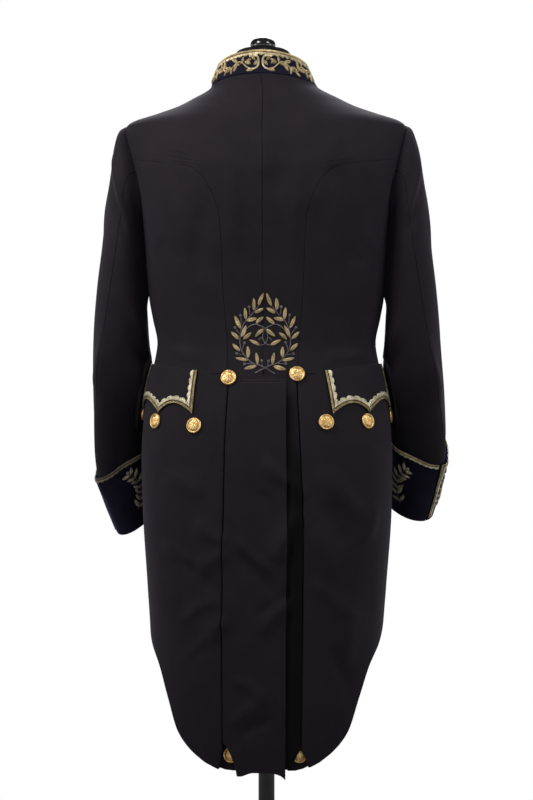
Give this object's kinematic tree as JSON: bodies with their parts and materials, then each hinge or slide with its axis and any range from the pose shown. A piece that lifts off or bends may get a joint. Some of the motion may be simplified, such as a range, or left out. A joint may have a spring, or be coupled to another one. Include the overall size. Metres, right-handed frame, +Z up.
{
  "type": "court uniform tailcoat on a dress form",
  "caption": "Court uniform tailcoat with stand collar, turned-back cuffs, scalloped pocket flaps and pleated tails, worn by a limbless dress form on a round-based stand.",
  "frame": {"origin": "centre of the stand base's underside, on the floor", "axes": "+Z up; -Y is the way the wearer's back faces; +X is the wearer's right side"},
  "size_m": [0.5558, 0.38, 1.5537],
  "materials": {
    "wool": "black milled wool broadcloth",
    "velvet": "midnight blue silk velvet",
    "gilt": "bright gilt, stamped in low relief",
    "jersey": "black jersey cover",
    "gloss": "gloss black lacquer",
    "steel": "satin black paint"
  },
  "bodies": {
    "root": {"back_left": "wool", "side_body_left": "wool", "forepart_left": "wool", "skirt_left": "wool", "flap_left": "wool", "topsleeve_left": "wool", "undersleeve_left": "wool", "cuff_left": "velvet", "waist_button_left": "gilt", "tail_button_left": "gilt", "flap_button_left_1": "gilt", "flap_button_left_2": "gilt", "flap_button_left_3": "gilt", "back_right": "wool", "side_body_right": "wool", "forepart_right": "wool", "skirt_right": "wool", "flap_right": "wool", "topsleeve_right": "wool", "undersleeve_right": "wool", "cuff_right": "velvet", "waist_button_right": "gilt", "tail_button_right": "gilt", "flap_button_right_1": "gilt", "flap_button_right_2": "gilt", "flap_button_right_3": "gilt", "front_button_1": "gilt", "front_button_2": "gilt", "front_button_3": "gilt", "front_button_4": "gilt", "front_button_5": "gilt", "front_button_6": "gilt", "front_button_7": "gilt", "front_button_8": "gilt", "front_button_9": "gilt", "collar": "velvet", "form_torso": "jersey", "neck_cap": "gloss", "finial": "gloss", "flange": "steel", "pole": "steel", "base": "steel"}
  },
  "joints": []
}
